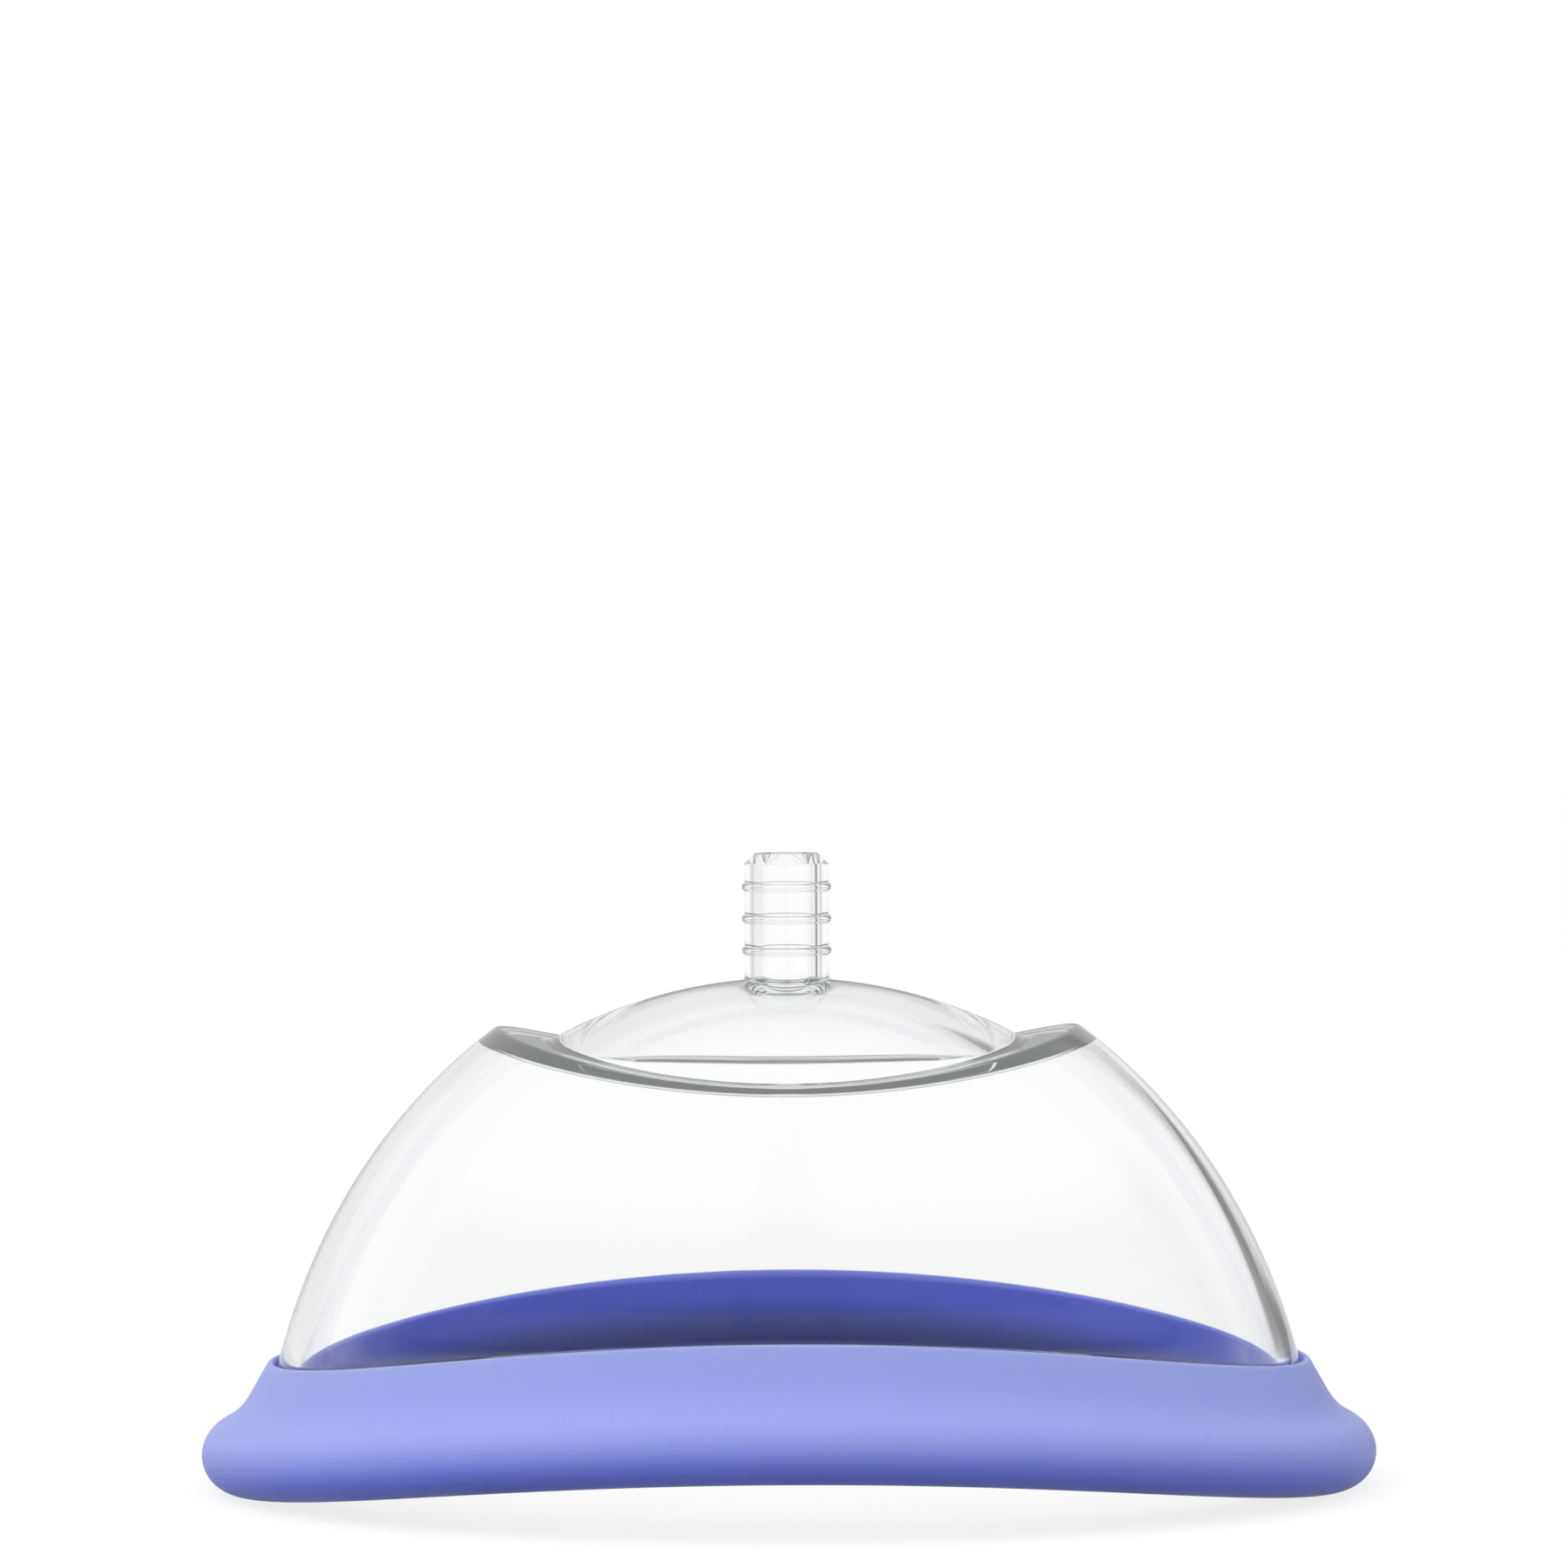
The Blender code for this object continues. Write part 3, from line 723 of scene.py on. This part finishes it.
def violet_silicone(rim):
    """Soft satin silicone: light passes under its skin, which has a fine matte grain.

    It has a painted sheen, a paler colour where it faces up and out, and is deeper where it faces down or
    in.
    Low in the groove, behind the dome's edge, its inner faces have painted shade, darker towards the
    bottom.
    """
    material, tree, shader, _ = new_material("violet_silicone_satin")
    shader.inputs["IOR"].default_value = SILICONE_REFRACTION
    shader.inputs["Subsurface Weight"].default_value = rim.scatter
    shader.inputs["Subsurface Scale"].default_value = rim.scatter_depth
    shader.inputs["Subsurface Radius"].default_value = SCATTER_SHARES
    skin = moulded_skin(tree, SILICONE_MOTTLE_SIZE, rim.grain_size)
    place = add_node(tree, "ShaderNodeTexCoord")
    facing = add_node(tree, "ShaderNodeSeparateXYZ")
    tree.links.new(place.outputs["Normal"], facing.inputs[0])
    # Painted sheen: paler where the face looks out and up, standing in for light from above.
    outside = smooth_step(tree, outward_lean(tree, place), *PAINTED_SHEEN_OUTWARD)
    upward = smooth_step(tree, facing.outputs["Z"], *PAINTED_SHEEN_UPWARD)
    painted_sheen = arithmetic(tree, "MULTIPLY", outside, upward)
    uneven = arithmetic(tree, "SUBTRACT", skin.outputs["Mottle"], 0.5)
    varied = arithmetic(tree, "MULTIPLY", uneven, rim.mottle)
    painted_sheen = arithmetic(tree, "ADD", painted_sheen, varied, use_clamp=True)
    # Painted shade: darker on inner faces low in the groove, by the height in the section.
    height = add_node(tree, "ShaderNodeAttribute", attribute_name=SECTION_HEIGHT)
    clear_of_groove_shade = smooth_step(tree, height.outputs["Fac"], *GROOVE_SHADE_HEIGHTS)
    clear_of_groove_shade = arithmetic(tree, "MAXIMUM", outside, clear_of_groove_shade)
    deep = blend_colours(tree, clear_of_groove_shade, rim.groove_shade_colour, rim.deep_colour)
    satin = even_climb(tree, skin.outputs["Mottle"], SATIN_MOTTLE, SATIN_ROUGHNESS)
    grain = add_node(tree, "ShaderNodeBump", {"Strength": GRAIN_STRENGTH, "Distance": GRAIN_DEPTH})
    tree.links.new(blend_colours(tree, painted_sheen, deep, rim.painted_sheen_colour), shader.inputs["Base Color"])
    tree.links.new(satin, shader.inputs["Roughness"])
    tree.links.new(skin.outputs["Grain"], grain.inputs["Height"])
    tree.links.new(grain.outputs["Normal"], shader.inputs["Normal"])
    return material


# Studio

PANEL_TONE = 0.86
PANEL_GAPS = ((0.0, 4.0, 0.80, 0.30), (38.0, 1.0, 0.985, 0.62))
GAP_FADE = (0.9, 0.4)
FRONT_DEPTH = 0.80
FRONT_LEAN = 0.35
FRONT_EDGE = (0.10, -0.40)
FRONT_FOOT = (0.08, 0.20)
FRONT_TOP = (0.62, 0.42)
FLOOR_DROP = 0.020
SOFTBOX_AIM = (0, 0, 0.02)
SOFTBOXES = (
    {"name": "key_softbox", "place": (-0.5, -0.4, 0.9), "size": 0.6, "power": 2.0},
    {"name": "side_softbox", "place": (-0.9, -0.1, 0.15), "size": 0.5, "power": 1.1},
)
CAMERA_NEAR = 0.01


def studio_panels_group():
    """Node group for the soft panels round the cup that reflections show: a tone for a direction.

    The tone is the panels' own, less the gaps between them and less the dark room in front of the cup, low
    down beside the camera and further round on the right. A gap is (turn, repeats, edge, depth): it lies
    where cos(repeats · (azimuth − turn)) is near 1, with azimuth 0 behind the cup, and fades to the top.
    """
    group = bpy.data.node_groups.new("studio_panels", "ShaderNodeTree")
    group.interface.new_socket("Direction", in_out="INPUT", socket_type="NodeSocketVector")
    group.interface.new_socket("Tone", in_out="OUTPUT", socket_type="NodeSocketFloat")
    inside = add_node(group, "NodeGroupInput")
    outside = add_node(group, "NodeGroupOutput")
    unit = add_node(group, "ShaderNodeVectorMath", operation="NORMALIZE")
    parts = add_node(group, "ShaderNodeSeparateXYZ")
    group.links.new(inside.outputs["Direction"], unit.inputs[0])
    group.links.new(unit.outputs[0], parts.inputs[0])
    along, across, up = parts.outputs
    azimuth = arithmetic(group, "ARCTAN2", along, across)
    level = smooth_step(group, arithmetic(group, "ABSOLUTE", up, 0.0), *GAP_FADE)
    total = 0.0
    for turn, repeats, edge, depth in PANEL_GAPS:
        turned = arithmetic(group, "SUBTRACT", azimuth, math.radians(turn))
        turned = arithmetic(group, "MULTIPLY", turned, repeats)
        gap = smooth_step(group, arithmetic(group, "COSINE", turned, 0.0), edge, 1.0)
        total = arithmetic(group, "ADD", total, arithmetic(group, "MULTIPLY", gap, depth))
    right = arithmetic(group, "MULTIPLY", arithmetic(group, "MAXIMUM", along, 0.0), FRONT_LEAN)
    ahead = arithmetic(group, "SUBTRACT", across, right)
    front = arithmetic(group, "MULTIPLY", smooth_step(group, ahead, *FRONT_EDGE), FRONT_DEPTH)
    above_foot = smooth_step(group, up, *FRONT_FOOT)
    band = arithmetic(group, "MULTIPLY", above_foot, smooth_step(group, up, *FRONT_TOP))
    dark = arithmetic(group, "MULTIPLY", front, band)
    dark = arithmetic(group, "ADD", dark, arithmetic(group, "MULTIPLY", total, level))
    tone = arithmetic(group, "SUBTRACT", PANEL_TONE, dark, use_clamp=True)
    group.links.new(tone, outside.inputs["Tone"])
    return group


def eye_tone(tree, direction, only_in_plastic):
    """What the eye sees of the studio: a mask of the eye's rays, and a tone for them.

    The mask is one for rays from the camera, also by way of gloss or glass, and nothing for light that
    falls on things. The tone is white straight on or through the plastic, and that of the panels in a
    reflection, or, if asked, only in a reflection inside the plastic or seen through it.
    """
    group = bpy.data.node_groups.get("studio_panels") or studio_panels_group()
    path = add_node(tree, "ShaderNodeLightPath")
    eye = arithmetic(tree, "MAXIMUM", path.outputs["Is Camera Ray"], path.outputs["Is Glossy Ray"])
    eye = arithmetic(tree, "MAXIMUM", eye, path.outputs["Is Transmission Ray"])
    fresh = arithmetic(tree, "LESS_THAN", path.outputs["Diffuse Depth"], 0.5)
    seen = arithmetic(tree, "MULTIPLY", eye, fresh)
    reflections = path.outputs["Glossy Depth"]
    if only_in_plastic:
        reflections = arithmetic(tree, "MINIMUM", reflections, path.outputs["Transmission Depth"])
    reflected = arithmetic(tree, "GREATER_THAN", reflections, 0.5)
    panels = add_node(tree, "ShaderNodeGroup", node_tree=group)
    tone = add_node(tree, "ShaderNodeMix", {"A": 1.0}, data_type="FLOAT")
    tree.links.new(direction, panels.inputs["Direction"])
    tree.links.new(reflected, tone.inputs["Factor"])
    tree.links.new(panels.outputs["Tone"], tone.inputs["B"])
    return seen, tone.outputs["Result"]


def white_floor(studio):
    """Pale floor that holds the cup's shadow, and looks white where nothing shades it.

    It sends back part of the light, and its glow for the eye makes up what the sky's light on it lacks to
    white. In reflections inside the plastic its tone is that of the direction from a point under the floor.
    """
    material, tree, shader, output = new_material("white_floor")
    tree.nodes.remove(shader)
    share = studio.floor_tone
    matte = add_node(tree, "ShaderNodeBsdfDiffuse", {"Color": (share, share, share, 1)})
    glow = add_node(tree, "ShaderNodeEmission")
    both = add_node(tree, "ShaderNodeAddShader")
    place = add_node(tree, "ShaderNodeTexCoord")
    raised = add_node(tree, "ShaderNodeVectorMath", {1: (0, 0, FLOOR_DROP)}, operation="ADD")
    tree.links.new(place.outputs["Object"], raised.inputs[0])
    seen, tone = eye_tone(tree, raised.outputs[0], True)
    lift = arithmetic(tree, "SUBTRACT", tone, share * studio.sky_light, use_clamp=True)
    tree.links.new(arithmetic(tree, "MULTIPLY", lift, seen), glow.inputs["Strength"])
    tree.links.new(matte.outputs[0], both.inputs[0])
    tree.links.new(glow.outputs[0], both.inputs[1])
    tree.links.new(both.outputs[0], output.inputs["Surface"])
    return material


def studio_world(studio):
    """White where the eye sees it, soft panels where the cup reflects it, and a sky that lights the cup.

    The sky is brightest in front: its strength falls evenly with the direction's part along Y.
    """
    world = bpy.data.worlds.new("studio")
    world.use_nodes = True
    tree = world.node_tree
    tree.nodes.clear()
    output = add_node(tree, "ShaderNodeOutputWorld")
    sky = add_node(tree, "ShaderNodeBackground", {"Color": (1, 1, 1, 1)})
    backdrop = add_node(tree, "ShaderNodeBackground", {"Color": (1, 1, 1, 1)})
    choose = add_node(tree, "ShaderNodeMixShader")
    place = add_node(tree, "ShaderNodeTexCoord")
    parts = add_node(tree, "ShaderNodeSeparateXYZ")
    tree.links.new(place.outputs["Generated"], parts.inputs[0])
    behind = arithmetic(tree, "MULTIPLY", parts.outputs["Y"], studio.front_light)
    tree.links.new(arithmetic(tree, "SUBTRACT", studio.sky_light, behind), sky.inputs["Strength"])
    seen, tone = eye_tone(tree, place.outputs["Generated"], False)
    tree.links.new(tone, backdrop.inputs["Strength"])
    tree.links.new(seen, choose.inputs["Fac"])
    tree.links.new(sky.outputs[0], choose.inputs[1])
    tree.links.new(backdrop.outputs[0], choose.inputs[2])
    tree.links.new(choose.outputs[0], output.inputs["Surface"])
    return world


def add_softbox(name, place, size, power):
    """A square area lamp at a place, turned towards the cup and hidden from gloss and glass."""
    lamp = bpy.data.lights.new(name, "AREA")
    lamp.shape = "SQUARE"
    lamp.size = size
    lamp.energy = power
    item = bpy.data.objects.new(name, lamp)
    bpy.context.scene.collection.objects.link(item)
    item.visible_glossy = False
    item.visible_transmission = False
    x, y, z = np.array(SOFTBOX_AIM) - np.array(place)
    item.location = place
    item.rotation_euler = (math.atan2(math.hypot(x, y), -z), 0, math.atan2(y, x) - math.pi / 2)


def add_camera(studio):
    """A level camera in front of the cup, shifted to the photograph's framing."""
    camera = bpy.data.cameras.new("photograph_view")
    camera.sensor_width = SENSOR_WIDTH
    camera.lens = studio.focal_pixels / PHOTO_SIDE * SENSOR_WIDTH
    camera.shift_x = (PHOTO_SIDE / 2 - studio.axis_column) / PHOTO_SIDE
    camera.shift_y = (studio.horizon_row - PHOTO_SIDE / 2) / PHOTO_SIDE
    camera.clip_start = CAMERA_NEAR
    item = bpy.data.objects.new("photograph_view", camera)
    bpy.context.scene.collection.objects.link(item)
    item.location = (0, -studio.distance, studio.eye_height)
    item.rotation_euler = (math.pi / 2, studio.roll, 0)
    bpy.context.scene.camera = item


# Operators

class CUP_OT_dome(bpy.types.Operator):
    """Make the polished clear dome"""

    bl_idname = "cup.dome"
    bl_label = "Clear dome"

    def execute(self, context):
        """Build the dome in place of the plain solid. It throws no shadow, so light passes through it."""
        settings = context.scene.cup_dome
        points = dome_points(settings, context.scene.cup_rim)
        dome = grid_object("polished_dome", points, clear_plastic(settings))
        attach(dome, "dome")
        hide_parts("clear_dome")
        dome.visible_shadow = False
        return {"FINISHED"}


class CUP_OT_rim(bpy.types.Operator):
    """Make the soft silicone rim"""

    bl_idname = "cup.rim"
    bl_label = "Silicone rim"

    def execute(self, context):
        """Build the rim in place of the plain solid."""
        settings = context.scene.cup_rim
        points, height = rim_points(context.scene.cup_dome, settings)
        rim = grid_object("soft_rim", points, violet_silicone(settings))
        # Heights in the section, for the painted shade low in the groove.
        layer = rim.data.attributes.new(SECTION_HEIGHT, "FLOAT", "POINT")
        layer.data.foreach_set("value", np.ascontiguousarray(height, dtype=np.float32).ravel())
        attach(rim, "rim")
        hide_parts("silicone_rim")
        return {"FINISHED"}


class CUP_OT_studio(bpy.types.Operator):
    """Make the floor, the light and the camera"""

    bl_idname = "cup.studio"
    bl_label = "Studio"

    def execute(self, context):
        """Lay the floor, light the cup and set the camera."""
        studio = context.scene.cup_studio
        side = studio.floor_half_side
        corners = [(-side, -side, 0), (side, -side, 0), (side, side, 0), (-side, side, 0)]
        mesh = bpy.data.meshes.new("floor")
        mesh.from_pydata(corners, [], [(0, 1, 2, 3)])
        mesh.materials.append(white_floor(studio))
        floor = bpy.data.objects.new("floor", mesh)
        context.scene.collection.objects.link(floor)
        context.scene.world = studio_world(studio)
        context.scene.view_settings.view_transform = "Standard"
        for softbox in SOFTBOXES:
            add_softbox(**softbox)
        add_camera(studio)
        return {"FINISHED"}


class CUP_PT_panel(bpy.types.Panel):
    """Lists the cup's pieces and its studio"""

    bl_idname = "CUP_PT_panel"
    bl_label = "Cupping cup"
    bl_space_type = "VIEW_3D"
    bl_region_type = "UI"
    bl_category = "Cup"

    def draw(self, context):
        """One button for each operator."""
        for operator in OPERATORS:
            self.layout.operator(operator.bl_idname)


SETTINGS = {"cup_dome": DomeSettings, "cup_rim": RimSettings, "cup_studio": StudioSettings}
OPERATORS = (CUP_OT_dome, CUP_OT_rim, CUP_OT_studio)


def register():
    """Register the settings, the operators and the panel."""
    for item in (*SETTINGS.values(), *OPERATORS, CUP_PT_panel):
        bpy.utils.register_class(item)
    for name, group in SETTINGS.items():
        setattr(bpy.types.Scene, name, bpy.props.PointerProperty(type=group))


def unregister():
    """Take away what register added."""
    for name in SETTINGS:
        delattr(bpy.types.Scene, name)
    for item in (CUP_PT_panel, *reversed(OPERATORS), *SETTINGS.values()):
        bpy.utils.unregister_class(item)


def main():
    """Register the add-on, then make every piece and the studio."""
    register()
    bpy.ops.cup.dome()
    bpy.ops.cup.rim()
    bpy.ops.cup.studio()


if __name__ == "__main__":
    main()
